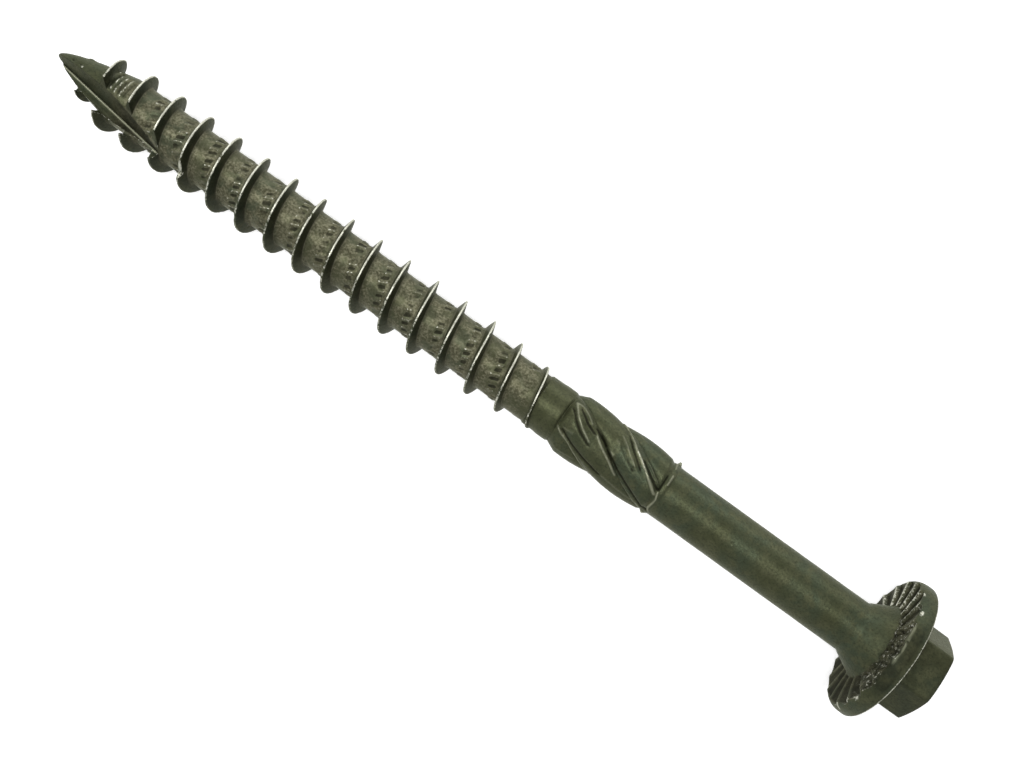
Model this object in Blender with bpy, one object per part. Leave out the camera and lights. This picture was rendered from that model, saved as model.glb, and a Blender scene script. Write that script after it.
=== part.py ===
"""Hex flange construction screw for timber, lying on a level surface as it comes to rest.

The screw is one piece of steel: a slotted point, a coarse single-start right-hand thread,
a plain collar, a helical shank cutter, a plain shank, a conical neck, a serrated flange and
a hexagonal drive head.

The screw is modelled upright in its own frame: the tip is at the bottom, local +Z runs from
the tip to the head, and angles are counted about that axis from local +X towards local +Y.
It is then laid down on the rim of its flange and the crest of its thread, with local +X
facing up and the tip towards world -X. The world origin is under the middle of the screw.
"""

import math

import bmesh
import bpy
from mathutils import Euler, Matrix, Vector

MM = 0.001

# Overall sizes
LENGTH_UNDER_HEAD = 86.45 * MM
HEAD_HEIGHT = 5.55 * MM

# Thread
THREAD_DIAMETER = 6.7 * MM
ROOT_DIAMETER = 4.6 * MM
THREAD_PITCH = 3.0 * MM
THREAD_LENGTH = 52.3 * MM
THREAD_PHASE = 2.75 * MM
CREST_WIDTH = 0.14 * MM
FLANK_ANGLE = math.radians(14.5)
FOOT_FILLET = 0.2 * MM
FILLET_RISE = 0.4
THREAD_RUN_IN = 2.25 * MM
RUN_IN_POWER = 0.5
THREAD_RUN_OUT = 7.5 * MM
RUN_OUT_POWER = 0.6
FULL_SHAPE_HEIGHT = 0.3 * MM

# Point
POINT_LENGTH = 7.0 * MM
POINT_POWER = 0.62
POINT_BLUNT_LENGTH = 0.03 * MM
THREAD_START = 2.75 * MM

# Slot cut into the point: where its inner corner enters and leaves, the faces beside it, and
# the steep wall along the lower face's outer edge
SLOT_ENTRY = Vector((-0.135, 0.55, 1.47)) * MM
SLOT_EXIT = Vector((1.35, 1.84, 12.3)) * MM
SLOT_UPPER_FACE_ANGLE = math.radians(-32)
SLOT_LOWER_FACE_ANGLE = math.radians(69)
SLOT_LOWER_FACE_WIDTH = 0.9 * MM
SLOT_WALL_ANGLE = math.radians(12)

# Collar between thread and cutter
COLLAR_LENGTH = 2.6 * MM
COLLAR_THIN_DIAMETER = 4.88 * MM
COLLAR_DIAMETER = 5.0 * MM
COLLAR_STEP_LENGTH = 0.3 * MM
COLLAR_OVERLAP = 1.4 * MM
GROOVE_DIAMETER = 4.56 * MM
GROOVE_LENGTH = 0.24 * MM

# Helical cutter on the shank
CUTTER_LENGTH = 10.1 * MM
CUTTER_LOBES = 4
CUTTER_LEAD = 22.0 * MM
CUTTER_VALLEY_DIAMETER = 4.8 * MM
CUTTER_PEAK_DIAMETER = 5.72 * MM
CUTTER_RAMP = 1.0 * MM
CUTTER_PHASE = math.radians(14)
CUTTER_LOBE_POWER = 0.75
CUTTER_END_DIAMETER = 5.3 * MM
CUTTER_END_LENGTH = 0.7 * MM
CUTTER_END_CHAMFER = 0.15 * MM

# Shank and neck
SHANK_DIAMETER = 4.92 * MM
NECK_LENGTH = 2.35 * MM
NECK_FILLET = 0.4 * MM
NECK_FILLET_RISE = 0.2 * MM
NECK_BASE_DIAMETER = 7.2 * MM

# Flange and its saw teeth
FLANGE_DIAMETER = 13.3 * MM
RIM_WIDEST_HEIGHT = 1.1 * MM
RIM_THICKNESS = 1.65 * MM
RIM_TOP_CHAMFER = 0.2 * MM
FLANGE_TOP_RISE = 0.35 * MM
TEETH = 20
TEETH_INNER_DIAMETER = 7.5 * MM
TEETH_OUTER_DIAMETER = 12.5 * MM
TOOTH_DEPTH = 0.4 * MM
TOOTH_PHASE = math.radians(3.5)
TOOTH_SKEW = math.radians(7.5)
TOOTH_STEEP_SHARE = 0.14

# Hexagonal drive
HEX_ACROSS_FLATS = 7.3 * MM
HEX_CORNER_RADIUS = 0.5 * MM
HEX_PHASE = math.radians(-40.3)
HEX_END_DIAMETER = 6.8 * MM
CROWN_HEIGHT = 0.12 * MM
CROWN_POWER = 1.5

# Fineness of the round shapes
THREAD_SIDES = 28
RING_SIDES = 72
CUTTER_RINGS = 13
RIM_SEGMENTS = 5
NECK_SEGMENTS = 4
FLAT_POINTS = 5
CORNER_POINTS = 3

FINISH_COLOUR = (0.085, 0.095, 0.055, 1.0)
FINISH_ROUGHNESS = 0.42
FINISH_METALLIC = 0.25
SHARP_ANGLE = math.radians(35)

# Sizes that follow from those above
THREAD_RADIUS = THREAD_DIAMETER / 2
ROOT_RADIUS = ROOT_DIAMETER / 2
THREAD_DEPTH = THREAD_RADIUS - ROOT_RADIUS
FLANGE_RADIUS = FLANGE_DIAMETER / 2
SHANK_RADIUS = SHANK_DIAMETER / 2
COLLAR_START = THREAD_LENGTH - COLLAR_OVERLAP
CUTTER_START = COLLAR_START + COLLAR_LENGTH
CUTTER_END = CUTTER_START + CUTTER_LENGTH
NECK_START = LENGTH_UNDER_HEAD - NECK_LENGTH
RIM_WIDEST_AT = LENGTH_UNDER_HEAD + RIM_WIDEST_HEIGHT
RIM_TOP_AT = LENGTH_UNDER_HEAD + RIM_THICKNESS
HEAD_END = LENGTH_UNDER_HEAD + HEAD_HEIGHT

# How far one solid reaches into the next before they are joined, and how far a hidden end
# lies under the surface around it
JOIN_DEPTH = 0.5 * MM
SEAM_INSET = 0.06 * MM
MERGE_DISTANCE = 1e-8

# The slot's cutter is larger than the screw, so that only its inner corner matters
SLOT_REACH = 2 * THREAD_DIAMETER


def clear_scene():
    for item in list(bpy.data.objects):
        bpy.data.objects.remove(item)


def between(low, high, share):
    return low + (high - low) * share


def share_of(value, start, end):
    return min(1.0, max(0.0, (value - start) / (end - start)))


def core_radius(z):
    """The radius of the screw's core under the thread: a curved point, then a cylinder."""
    return ROOT_RADIUS * share_of(z, 0.0, POINT_LENGTH) ** POINT_POWER


def thread_height(z):
    """How far the thread stands out of the core where its crest is at z."""
    run_in = share_of(z, THREAD_START, THREAD_START + THREAD_RUN_IN) ** RUN_IN_POWER
    run_out = share_of(z, THREAD_LENGTH, THREAD_LENGTH - THREAD_RUN_OUT) ** RUN_OUT_POWER
    return THREAD_DEPTH * run_in * run_out


def thread_profile(crest_z):
    """One pitch of the thread's outline as (distance from the crest, height) pairs."""
    height = thread_height(crest_z)
    half_crest = CREST_WIDTH / 2
    foot = half_crest + height * math.tan(FLANK_ANGLE)
    fillet = min(FOOT_FILLET, height)
    outline = [
        (-foot - fillet, 0.0),
        (-foot, fillet * FILLET_RISE),
        (-half_crest, height),
        (half_crest, height),
        (foot, fillet * FILLET_RISE),
        (foot + fillet, 0.0),
    ]
    spread = 1.0 - share_of(height, 0.0, FULL_SHAPE_HEIGHT)
    rows = len(outline)
    even = [(row + 0.5 - rows / 2) * THREAD_PITCH / rows for row in range(rows)]
    return [(between(offset, even[row], spread), up) for row, (offset, up) in enumerate(outline)]


def new_object(name, mesh_data):
    mesh = bpy.data.meshes.new(name)
    mesh_data.to_mesh(mesh)
    mesh_data.free()
    item = bpy.data.objects.new(name, mesh)
    bpy.context.collection.objects.link(item)
    return item


def helper_object(name, mesh_data):
    item = new_object(name, mesh_data)
    item.hide_render = True
    item.display_type = "WIRE"
    return item


def closed_from(mesh_data):
    """Merges the points that fell together, fills the two ends and turns the faces out."""
    bmesh.ops.remove_doubles(mesh_data, verts=mesh_data.verts, dist=MERGE_DISTANCE)
    open_edges = [edge for edge in mesh_data.edges if edge.is_boundary]
    bmesh.ops.holes_fill(mesh_data, edges=open_edges)
    bmesh.ops.recalc_face_normals(mesh_data, faces=mesh_data.faces)
    return mesh_data


def threaded_core():
    """The point and the threaded core: one profile swept along the helix, turn joined to turn."""
    start_z = POINT_BLUNT_LENGTH
    end_z = CUTTER_START
    crest_at_zero = THREAD_PHASE % THREAD_PITCH - 2 * THREAD_PITCH
    turns = math.ceil((end_z - crest_at_zero) / THREAD_PITCH) + 1
    steps = turns * THREAD_SIDES
    mesh_data = bmesh.new()
    grid = []
    for step in range(steps + 1):
        angle = 2 * math.pi * step / THREAD_SIDES
        crest_z = crest_at_zero + THREAD_PITCH * step / THREAD_SIDES
        column = []
        for offset, height in thread_profile(crest_z):
            z = min(end_z, max(start_z, crest_z + offset))
            radius = core_radius(z) + height
            column.append(mesh_data.verts.new((radius * math.cos(angle), radius * math.sin(angle), z)))
        grid.append(column)
    for step in range(steps):
        here, ahead = grid[step], grid[step + 1]
        for row in range(len(here) - 1):
            mesh_data.faces.new((here[row], ahead[row], ahead[row + 1], here[row + 1]))
        if step + 1 + THREAD_SIDES <= steps:
            over, over_ahead = grid[step + THREAD_SIDES], grid[step + 1 + THREAD_SIDES]
            mesh_data.faces.new((here[-1], ahead[-1], over_ahead[0], over[0]))
    return helper_object("threaded_core", closed_from(mesh_data))


def loft(rings):
    """A closed body through rings of as many points each, with a flat cap at either end."""
    mesh_data = bmesh.new()
    loops = [[mesh_data.verts.new(point) for point in ring] for ring in rings]
    for lower, upper in zip(loops, loops[1:]):
        for side in range(len(lower)):
            after = (side + 1) % len(lower)
            mesh_data.faces.new((lower[side], lower[after], upper[after], upper[side]))
    mesh_data.faces.new(reversed(loops[0]))
    mesh_data.faces.new(loops[-1])
    bmesh.ops.recalc_face_normals(mesh_data, faces=mesh_data.faces)
    return mesh_data


def polar(radius, angle, z):
    return Vector((radius * math.cos(angle), radius * math.sin(angle), z))


def ring_angles(skew=0.0):
    """Three points to each saw tooth: its crest, the foot of its steep face, and the middle of its ramp."""
    tooth = 2 * math.pi / TEETH
    shares = (0.0, TOOTH_STEEP_SHARE, (1 + TOOTH_STEEP_SHARE) / 2)
    return [TOOTH_PHASE + skew + tooth * (index + share) for index in range(TEETH) for share in shares]


def round_ring(radius, z, skew=0.0):
    return [polar(radius, angle, z) for angle in ring_angles(skew)]


def cutter_ring(z):
    """A ring of the helical cutter: round-backed lobes that meet in sharp valleys."""
    turned = 2 * math.pi * (z - CUTTER_START) / CUTTER_LEAD
    ramp = share_of(z, CUTTER_START, CUTTER_START + CUTTER_RAMP)
    valley = CUTTER_VALLEY_DIAMETER / 2
    rise = (CUTTER_PEAK_DIAMETER - CUTTER_VALLEY_DIAMETER) / 2 * ramp
    ring = []
    for side in range(RING_SIDES):
        around = 2 * math.pi * side / RING_SIDES
        lobe = abs(math.sin(around * CUTTER_LOBES / 2)) ** CUTTER_LOBE_POWER
        ring.append(polar(valley + rise * lobe, around + turned + CUTTER_PHASE, z))
    return ring


def shank_body():
    """Collar, helical cutter and plain shank, up to inside the neck."""
    even = [CUTTER_PHASE + 2 * math.pi * side / RING_SIDES for side in range(RING_SIDES)]

    def even_ring(radius, z, turned=0.0):
        return [polar(radius, angle + turned, z) for angle in even]

    thin = COLLAR_THIN_DIAMETER / 2
    wide = COLLAR_DIAMETER / 2
    step_at = CUTTER_START - COLLAR_LENGTH / 2
    rings = [
        even_ring(ROOT_RADIUS - SEAM_INSET, COLLAR_START - COLLAR_STEP_LENGTH),
        even_ring(thin, COLLAR_START),
        even_ring(thin, step_at - COLLAR_STEP_LENGTH / 2),
        even_ring(wide, step_at + COLLAR_STEP_LENGTH / 2),
        even_ring(wide, CUTTER_START - 2 * GROOVE_LENGTH),
        even_ring(GROOVE_DIAMETER / 2, CUTTER_START - GROOVE_LENGTH),
    ]
    for index in range(CUTTER_RINGS):
        share = index / (CUTTER_RINGS - 1)
        rings.append(cutter_ring(between(CUTTER_START, CUTTER_END, share)))
    turned = 2 * math.pi * CUTTER_LENGTH / CUTTER_LEAD
    shoulder = CUTTER_END_DIAMETER / 2
    shoulder_end = CUTTER_END + CUTTER_END_LENGTH
    rings.append(even_ring(shoulder, CUTTER_END + CUTTER_END_CHAMFER, turned))
    rings.append(even_ring(shoulder, shoulder_end - CUTTER_END_CHAMFER, turned))
    rings.append(even_ring(SHANK_RADIUS, shoulder_end, turned))
    rings.append(even_ring(SHANK_RADIUS, NECK_START + JOIN_DEPTH, turned))
    return new_object("construction_screw", loft(rings))


def neck_and_flange():
    """The conical neck, the toothed underside, the rounded rim and the flange's top.

    The teeth's inner ends, and the neck inside them, are turned on by the teeth's skew.
    """
    neck_base = NECK_BASE_DIAMETER / 2
    rings = [
        round_ring(SHANK_RADIUS - 2 * SEAM_INSET, NECK_START - JOIN_DEPTH, TOOTH_SKEW),
        round_ring(SHANK_RADIUS - SEAM_INSET, NECK_START, TOOTH_SKEW),
    ]
    for index in range(NECK_SEGMENTS + 1):
        share = index / NECK_SEGMENTS
        z = between(NECK_START + NECK_FILLET, LENGTH_UNDER_HEAD, share)
        cone = between(SHANK_RADIUS + NECK_FILLET_RISE, neck_base, share)
        rings.append(round_ring(cone, z, TOOTH_SKEW))
    teeth_inner = TEETH_INNER_DIAMETER / 2
    teeth_outer = TEETH_OUTER_DIAMETER / 2
    heights = (0.0, TOOTH_DEPTH, TOOTH_DEPTH / 2)
    for radius, skew in ((teeth_inner, TOOTH_SKEW), (teeth_outer, 0.0)):
        rings.append([
            polar(radius, angle, LENGTH_UNDER_HEAD + heights[side % len(heights)])
            for side, angle in enumerate(ring_angles(skew))
        ])
    for index in range(RIM_SEGMENTS + 1):
        bend = math.pi / 2 * index / RIM_SEGMENTS
        radius = between(teeth_outer, FLANGE_RADIUS, math.sin(bend))
        z = between(RIM_WIDEST_AT, LENGTH_UNDER_HEAD + TOOTH_DEPTH, math.cos(bend))
        if index:
            rings.append(round_ring(radius, z))
    rings.append(round_ring(FLANGE_RADIUS, RIM_TOP_AT - RIM_TOP_CHAMFER))
    rings.append(round_ring(FLANGE_RADIUS - RIM_TOP_CHAMFER, RIM_TOP_AT))
    rings.append(round_ring(HEX_ACROSS_FLATS / 2 - JOIN_DEPTH, RIM_TOP_AT + FLANGE_TOP_RISE))
    return helper_object("neck_and_flange", loft(rings))


def hex_outline():
    """(radius, angle) of the points round the drive: flats joined by small round corners."""
    half = HEX_ACROSS_FLATS / 2
    corner_centre = (half - HEX_CORNER_RADIUS) / math.cos(math.pi / 6)
    outline = []
    for corner in range(6):
        at = HEX_PHASE + corner * math.pi / 3
        for index in range(CORNER_POINTS):
            bend = at + math.radians(between(-30, 30, index / (CORNER_POINTS - 1)))
            point = polar(corner_centre, at, 0.0) + polar(HEX_CORNER_RADIUS, bend, 0.0)
            outline.append(point)
        flat_start = outline[-1]
        after = at + math.pi / 3
        flat_end = polar(corner_centre, after, 0.0) + polar(HEX_CORNER_RADIUS, after - math.pi / 6, 0.0)
        for index in range(1, FLAT_POINTS):
            outline.append(flat_start.lerp(flat_end, index / FLAT_POINTS))
    return outline


def hex_drive():
    """The hexagonal drive: its corners are cut back by a rounded crown."""
    outline = hex_outline()
    end_radius = HEX_END_DIAMETER / 2
    corner_radius = max(point.length for point in outline)

    def crown_z(radius):
        return HEAD_END - CROWN_HEIGHT * share_of(radius, end_radius, corner_radius) ** CROWN_POWER

    base = [Vector((point.x, point.y, RIM_TOP_AT - JOIN_DEPTH)) for point in outline]
    edge = [Vector((point.x, point.y, crown_z(point.length))) for point in outline]
    rings = [base, edge]
    for share in (0.5, 1.0):
        ring = []
        for point in outline:
            radius = between(point.length, end_radius, share)
            ring.append(Vector((*(point.xy.normalized() * radius), crown_z(radius))))
        rings.append(ring)
    return helper_object("hex_drive", loft(rings))


def slot_cutter():
    """A bar whose inner edge follows the slot's corner: it takes the metal in front of the faces."""
    along = (SLOT_EXIT - SLOT_ENTRY).normalized()
    start = SLOT_ENTRY - along * SLOT_REACH
    end = SLOT_EXIT + along * SLOT_REACH
    upper = polar(SLOT_REACH, SLOT_UPPER_FACE_ANGLE, 0.0)
    lower = polar(SLOT_LOWER_FACE_WIDTH, SLOT_LOWER_FACE_ANGLE, 0.0)
    wall = polar(SLOT_REACH, SLOT_WALL_ANGLE, 0.0)
    outline = (Vector(), upper, upper + wall, lower + wall, lower)
    rings = [[corner + point for point in outline] for corner in (start, end)]
    return helper_object("slot_cutter", loft(rings))


def join_solid(target, other, operation):
    modifier = target.modifiers.new(other.name, "BOOLEAN")
    modifier.operation = operation
    modifier.solver = "EXACT"
    modifier.object = other


def coated_steel():
    material = bpy.data.materials.new("green_coated_steel")
    material.use_nodes = True
    shader = material.node_tree.nodes["Principled BSDF"]
    shader.inputs["Base Color"].default_value = FINISH_COLOUR
    shader.inputs["Roughness"].default_value = FINISH_ROUGHNESS
    shader.inputs["Metallic"].default_value = FINISH_METALLIC
    return material


def lay_down(solids):
    """Rests the screw on the rim of its flange and on the first full crest of its thread."""
    full_from = THREAD_START + THREAD_RUN_IN
    under = THREAD_PHASE + THREAD_PITCH / 2
    turns = math.ceil((full_from - under) / THREAD_PITCH)
    crest_z = under + turns * THREAD_PITCH
    tilt = math.asin((FLANGE_RADIUS - THREAD_RADIUS) / (RIM_WIDEST_AT - crest_z))
    frame = bpy.data.objects.new("lying_frame", None)
    bpy.context.collection.objects.link(frame)
    upright_to_lying = Matrix(((0, 0, 1, 0), (0, -1, 0, 0), (1, 0, 0, 0), (0, 0, 0, 1)))
    rise = Euler((0.0, -tilt, 0.0)).to_matrix().to_4x4()
    length = HEAD_END * math.cos(tilt) + HEX_END_DIAMETER / 2 * math.sin(tilt)
    height = FLANGE_RADIUS * math.cos(tilt) - RIM_WIDEST_AT * math.sin(tilt)
    frame.matrix_world = Matrix.Translation((-length / 2, 0.0, height)) @ rise @ upright_to_lying
    for solid in solids:
        solid.parent = frame


def build():
    clear_scene()
    screw = shank_body()
    helpers = [threaded_core(), neck_and_flange(), hex_drive(), slot_cutter()]
    for helper in helpers[:-1]:
        join_solid(screw, helper, "UNION")
    join_solid(screw, helpers[-1], "DIFFERENCE")
    lay_down([screw, *helpers])
    screw.data.materials.append(coated_steel())
    screw.data.shade_smooth()
    screw.data.set_sharp_from_angle(angle=SHARP_ANGLE)


build()
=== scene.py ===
import math

import bmesh
import bpy
import numpy as np
from mathutils import Matrix, Vector, noise


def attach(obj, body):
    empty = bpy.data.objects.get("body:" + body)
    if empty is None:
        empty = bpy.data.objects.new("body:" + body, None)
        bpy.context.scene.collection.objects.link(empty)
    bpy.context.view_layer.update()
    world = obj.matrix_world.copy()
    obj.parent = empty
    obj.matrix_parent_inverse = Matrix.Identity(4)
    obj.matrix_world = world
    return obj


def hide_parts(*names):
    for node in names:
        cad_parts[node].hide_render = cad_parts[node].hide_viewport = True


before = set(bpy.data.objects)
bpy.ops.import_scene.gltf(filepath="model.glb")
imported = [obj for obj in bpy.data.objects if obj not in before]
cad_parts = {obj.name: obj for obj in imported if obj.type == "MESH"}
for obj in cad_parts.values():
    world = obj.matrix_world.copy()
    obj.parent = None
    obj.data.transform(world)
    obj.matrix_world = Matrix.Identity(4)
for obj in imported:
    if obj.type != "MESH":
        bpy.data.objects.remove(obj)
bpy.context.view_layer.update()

# Sizes in millimetres, in the screw's own upright frame: the tip is at the origin, local +Z
# runs to the head and angles are counted from local +X towards local +Y. When the screw lies
# down, local +X looks up.
LENGTH_UNDER_HEAD = 86.45
HEAD_END = 92.0

PITCH = 3.0
THREAD_PHASE = 2.75
THREAD_LENGTH = 52.3
THREAD_RADIUS = 3.35
ROOT_RADIUS = 2.3
CREST_WIDTH = 0.14
FLANK_ANGLE = math.radians(14.5)
FOOT_FILLET = 0.15
FILLET_RISE = 0.4
THREAD_START = 2.75
THREAD_RUN_IN = 2.25
RUN_IN_POWER = 0.5
THREAD_RUN_OUT = 7.5
RUN_OUT_POWER = 0.6
THREAD_SIDES = 112
ROOT_ROWS_BEHIND = 9
ROOT_ROWS_AHEAD = 6

POINT_LENGTH = 7.0
POINT_POWER = 0.62
POINT_BLUNT_LENGTH = 0.03

SLOT_ENTRY = Vector((-0.135, 0.55, 1.47))
SLOT_EXIT = Vector((1.35, 1.84, 12.3))
SLOT_UPPER_ANGLE = math.radians(-32)
SLOT_LOWER_ANGLE = math.radians(69)
SLOT_LOWER_WIDTH = 0.9
SLOT_WALL_ANGLE = math.radians(12)
SLOT_REACH = 13.4

COLLAR_START = 50.9
COLLAR_THIN_RADIUS = 2.44
COLLAR_RADIUS = 2.5
COLLAR_THICK_LENGTH = 1.3
COLLAR_STEP = 0.3
GROOVE_RADIUS = 2.28
GROOVE_LENGTH = 0.24

CUTTER_START = 53.5
CUTTER_LENGTH = 10.1
CUTTER_END = CUTTER_START + CUTTER_LENGTH
CUTTER_LOBES = 4
CUTTER_LEAD = 22.0
CUTTER_VALLEY_RADIUS = 2.4
CUTTER_PEAK_RADIUS = 2.86
CUTTER_RAMP = 1.0
CUTTER_PHASE = math.radians(14)
CUTTER_LOBE_POWER = 0.75
CUTTER_SIDES = 160
SHOULDER_LENGTH = 0.7
SHOULDER_RISE = 0.08

SHANK_RADIUS = 2.46
NECK_START = 84.25
NECK_BASE_RADIUS = 3.6
NECK_FILLET = 0.4
NECK_FILLET_RISE = 0.2

FLANGE_RADIUS = 6.65
RIM_WIDEST_AT = 87.55
RIM_TOP_AT = 88.1
RIM_TOP_CHAMFER = 0.2
FLANGE_TOP_RISE = 0.35
TEETH = 20
TEETH_INNER_RADIUS = 3.75
TEETH_OUTER_RADIUS = 6.25
TOOTH_PHASE = math.radians(3.5)
TOOTH_SKEW = math.radians(7.5)

HEX_ACROSS_FLATS = 7.3
HEX_CORNER_RADIUS = 0.5
HEX_PHASE = math.radians(-40.3)
HEX_END_RADIUS = 3.4
CROWN_HEIGHT = 0.12
CROWN_POWER = 1.5

JOIN_DEPTH = 0.5
SEAM_INSET = 0.06
WELD_DISTANCE = 1e-5
SMALLEST_EDGE = 0.002
SHARP_ANGLE = math.radians(38)

# One tooth of the flange: (share of the way to the next tooth, depth)
TOOTH_PROFILE = (
    (0.0, 0.0), (0.05, 0.06), (0.13, 0.38), (0.19, 0.4),
    (0.36, 0.32), (0.56, 0.215), (0.76, 0.11), (0.94, 0.015),
)
# The rings of points that the teeth are made on: (radius, share of the full depth)
TEETH_RINGS = (
    (3.63, 0.1), (3.72, 0.75), (3.8, 1.0), (4.2, 1.0), (4.7, 1.0), (5.15, 1.0),
    (5.6, 1.0), (5.9, 1.0), (6.08, 1.0), (6.18, 0.9), (6.25, 0.7), (6.31, 0.4),
)

# Distances from the slot's corner at which its faces get a row of points
UPPER_FACE_ROWS = (
    0.05, 0.1, 0.15, 0.2, 0.28, 0.4, 0.55, 0.7, 0.85,
    1.0, 1.2, 1.4, 1.6, 1.9, 2.2, 2.6, 3.0, 3.6,
)
LOWER_FACE_ROWS = (0.04, 0.08, 0.12, 0.16, 0.21, 0.28, 0.37, 0.47, 0.57, 0.67, 0.77)
WALL_ROWS = (0.03, 0.1, 0.2, 0.35, 0.5, 0.7, 0.9, 1.2, 1.6, 2.2)

# A row of small shallow slanted grip ticks is rolled into the thread's root, in the half of each
# gap that is nearer the head. Their widths and spacing are counted in the thread's sides, and
# they fade in and out between pairs of distances from the tip.
TICK_HEIGHT = 0.08
TICK_BED = 1.2
TICK_HALF_WIDTH = 1.5
TICK_BED_HALF_WIDTH = 3.0
TICK_SPACING = 6.4
TICK_REACH = 7
TICK_SLANT = 0.35
TICKS_BEGIN = (8.0, 10.0)
TICKS_END = (50.5, 49.0)

# How uneven the thread's surface is: (size, height, seed), and the small nicks in its crest
THREAD_SWELLS = ((1.3, 0.014, 0), (0.4, 0.012, 1))
NICK_SIZE = 0.55
NICK_DEPTH = 0.05
CREST_LOSS = 0.02

# Ridges and grooves left by the rolling, each (height, width, route), with the route's points
# as (distance from the tip, degrees round the screw). Those of the cutter are repeated on the
# other side of the screw.
LINE_RADIUS = 2.55
POINT_LINE_RADIUS = 2.0
POINT_LINES_END = 9.0
CUTTER_LINE_WIDENING = 1.1
CUTTER_LINES = (
    (0.09, 0.10, ((53.8, -42), (54.4, -20), (55.4, -4), (56.5, 8))),
    (0.08, 0.10, ((54.0, -42), (54.8, -37), (55.4, -30), (55.9, -21))),
    (0.05, 0.09, ((54.4, -72), (55.2, -66), (55.9, -54))),
    (0.10, 0.10, ((56.8, -9), (57.7, 4), (58.8, 17), (59.9, 33))),
    (0.09, 0.12, ((58.1, -2), (58.8, 3))),
    (0.13, 0.11, ((58.2, -70), (59.2, -49), (60.2, -31), (61.3, -16), (62.2, -3), (63.5, 17))),
    (0.06, 0.09, ((58.3, -24), (59.2, -18), (60.6, 0))),
    (0.07, 0.09, ((58.6, -36), (59.8, -18), (60.8, -4))),
    (0.05, 0.08, ((58.3, -76), (59.5, -78), (60.7, -65))),
    (0.05, 0.08, ((58.9, -59), (60.2, -56))),
    (0.10, 0.10, ((53.6, 21), (54.2, 28), (55.2, 38), (56.4, 52), (57.6, 74))),
    (0.06, 0.10, ((54.1, 15), (55.0, 14))),
    (0.05, 0.09, ((54.2, 59), (56.2, 65))),
    (0.06, 0.09, ((58.1, 43), (60.1, 52), (62.5, 69))),
    (0.06, 0.09, ((60.6, 38), (62.6, 59))),
    (0.06, 0.09, ((61.8, -25), (63.2, -5))),
    (-0.12, 0.11, ((54.5, -34), (55.5, -18), (56.5, -10))),
    (-0.13, 0.11, ((56.5, -21), (57.6, -9), (58.5, 5), (59.8, 22), (61.6, 38), (63.0, 52), (64.0, 65))),
    (-0.10, 0.10, ((53.8, -28), (54.6, -9), (55.5, 4), (56.6, 14))),
    (-0.11, 0.10, ((58.8, -56), (59.9, -28), (60.9, -12), (61.4, -4))),
    (-0.08, 0.09, ((58.9, -21), (60.2, -3), (60.9, 5))),
    (-0.13, 0.11, ((61.3, -23), (62.4, -7), (63.5, 7))),
    (-0.13, 0.12, ((54.1, 21), (55.4, 33), (57.0, 42), (58.8, 50))),
)
SHOULDER_LINES = (
    (-0.10, 0.10, ((63.6, -28), (63.6, 6))),
    (0.11, 0.10, ((64.0, -34), (64.0, -12))),
    (0.13, 0.10, ((63.7, 11), (63.9, 25), (63.8, 49), (64.1, 65))),
    (0.09, 0.10, ((63.8, -75), (63.9, -52))),
    (0.38, 0.12, ((64.1, -100), (64.2, -92))),
    (0.20, 0.22, ((63.7, 84), (63.8, 92))),
    (0.12, 0.12, ((63.9, 105), (64.0, 140), (63.8, 180), (64.0, 220), (63.9, 250))),
)
POINT_LINES = (
    (0.09, 0.11, ((5.75, -60), (5.8, -8))),
    (-0.08, 0.10, ((6.02, -60), (6.07, -10))),
    (0.09, 0.10, ((6.3, -48), (6.35, -8))),
    (0.09, 0.10, ((6.75, -48), (6.8, -5))),
    (-0.08, 0.10, ((7.0, -40), (7.05, -5))),
    (0.10, 0.11, ((7.3, -50), (7.35, -2))),
    (-0.06, 0.10, ((7.6, -50), (7.65, -8))),
    (-0.10, 0.15, ((1.7, -20), (1.8, -17))),
    (0.10, 0.13, ((2.85, -14), (2.95, -11))),
    (-0.07, 0.13, ((2.6, -20), (2.65, -16))),
    (0.12, 0.18, ((2.7, -74), (2.9, -72))),
)

# The thread's root is browner than the rest. The colour fades in and out between pairs of
# distances from the tip.
BROWN_BEGINS = (5.0, 9.0)
BROWN_ENDS = (52.0, 49.0)

# The stretch of the cutter's longest ridge that is rubbed to bare metal: (distance from the
# tip, angle). Its wear fades out between the two distances from there.
RUBBED_PLACE = (61.0, math.radians(-20))
RUBBED_FADE = (0.5, 1.6)

# The part of the screw that is painted as its head begins here, and its teeth lie between two
# radii, no deeper than this
HEAD_PAINT_START = LENGTH_UNDER_HEAD - 0.3
TEETH_PAINT_RADII = (3.66, 6.3)
TEETH_PAINT_DEPTH = 0.8

# Painted glints, bright places at the outer ends of the flange's teeth: (degrees, radius, size)
TOOTH_GLINTS = (
    (-61.5, 6.4, 0.16), (-41, 6.45, 0.16), (-24, 6.35, 0.16), (-17, 6.35, 0.14),
    (-9, 6.4, 0.16), (0, 6.35, 0.16), (14, 5.2, 0.14), (19, 5.9, 0.16),
    (46, 6.3, 0.3), (50, 6.1, 0.2), (58, 6.2, 0.22), (74, 6.4, 0.28),
    (118, 6.3, 0.2), (161, 6.3, 0.25), (203, 6.3, 0.2), (254, 6.3, 0.24),
)

# Floor, lamps and world, in metres and watts. Each lamp is (name, place, size, power, aim).
FLOOR_HALF = 0.5
FLOOR_DROP = 0.00002
FLOOR_GLOW = 0.5
LAMPS = (
    ("key_light", (-0.1, 0.5, 0.14), (0.7, 0.22), 1.7, (0.0, 0.0, 0.0)),
    ("top_light", (-0.21, 0.0, 0.6), (0.68, 0.07), 3.4, (-0.21, 0.0, 0.0)),
    ("fill_light", (-0.15, -0.5, 0.25), (0.5, 0.3), 0.2, (0.0, 0.0, 0.0)),
)
WORLD_LIGHT = 0.105

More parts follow.
